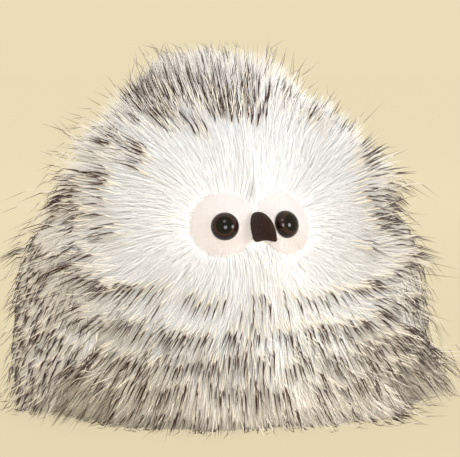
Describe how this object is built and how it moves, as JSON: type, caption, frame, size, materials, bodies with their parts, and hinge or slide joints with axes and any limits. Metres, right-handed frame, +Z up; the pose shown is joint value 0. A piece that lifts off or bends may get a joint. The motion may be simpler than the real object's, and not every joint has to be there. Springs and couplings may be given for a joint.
{
  "type": "plush owl",
  "caption": "Sitting plush owl in long-pile fur panels over stuffing, with a pellet-weighted flat base, plastic eyes, a felt beak and soft hinged wings.",
  "frame": {"origin": "centre of the flat sole, on the surface that the owl sits on", "axes": "+Z up, -Y the way the face looks, +X to the owl's own left"},
  "size_m": [0.1816, 0.15, 0.148],
  "materials": {
    "white_fur": "long white pile",
    "crest_fur": "long pile, cream at the root and dark brown at the tip",
    "barred_fur": "long cream pile with rows of dark brown tips",
    "sole_cloth": "short plush",
    "disc_cloth": "short pale pink nap",
    "lining_cloth": "short cream plush",
    "filling": "loose polyester fibre",
    "bag_cloth": "plain woven cloth",
    "pellet_plastic": "small round pellets",
    "eye_plastic": "polished dome, dark brown with a black pupil",
    "washer_plastic": "moulded",
    "beak_felt": "dark chocolate felt",
    "seam_thread": "twisted polyester thread"
  },
  "bodies": {
    "body": {"face_panel": "white_fur", "crown_panel": "crest_fur", "left_head_side": "barred_fur", "right_head_side": "barred_fur", "chest_panel": "barred_fur", "left_flank_panel": "barred_fur", "right_flank_panel": "barred_fur", "left_back_panel": "barred_fur", "right_back_panel": "barred_fur", "sole_panel": "sole_cloth", "closing_seam_thread": "seam_thread", "head_stuffing": "filling", "body_stuffing": "filling", "pellet_bag": "bag_cloth", "pellets": "pellet_plastic", "left_eye_disc": "disc_cloth", "right_eye_disc": "disc_cloth", "left_eye": "eye_plastic", "right_eye": "eye_plastic", "left_eye_washer": "washer_plastic", "right_eye_washer": "washer_plastic", "beak_cover": "beak_felt", "beak_stuffing": "filling"},
    "left_wing": {"left_wing_fur": "barred_fur", "left_wing_lining": "lining_cloth"},
    "right_wing": {"right_wing_fur": "barred_fur", "right_wing_lining": "lining_cloth"}
  },
  "joints": [
    {"name": "left_wing_lift", "type": "hinge", "parent": "body", "child": "left_wing", "pos_m": [0.07361, -0.01204, 0.0833], "axis": [-0.2691, -0.9631, 0], "range_deg": [0, 60]},
    {"name": "right_wing_lift", "type": "hinge", "parent": "body", "child": "right_wing", "pos_m": [-0.07361, -0.01204, 0.0833], "axis": [-0.2691, 0.9631, 0], "range_deg": [0, 60]}
  ]
}
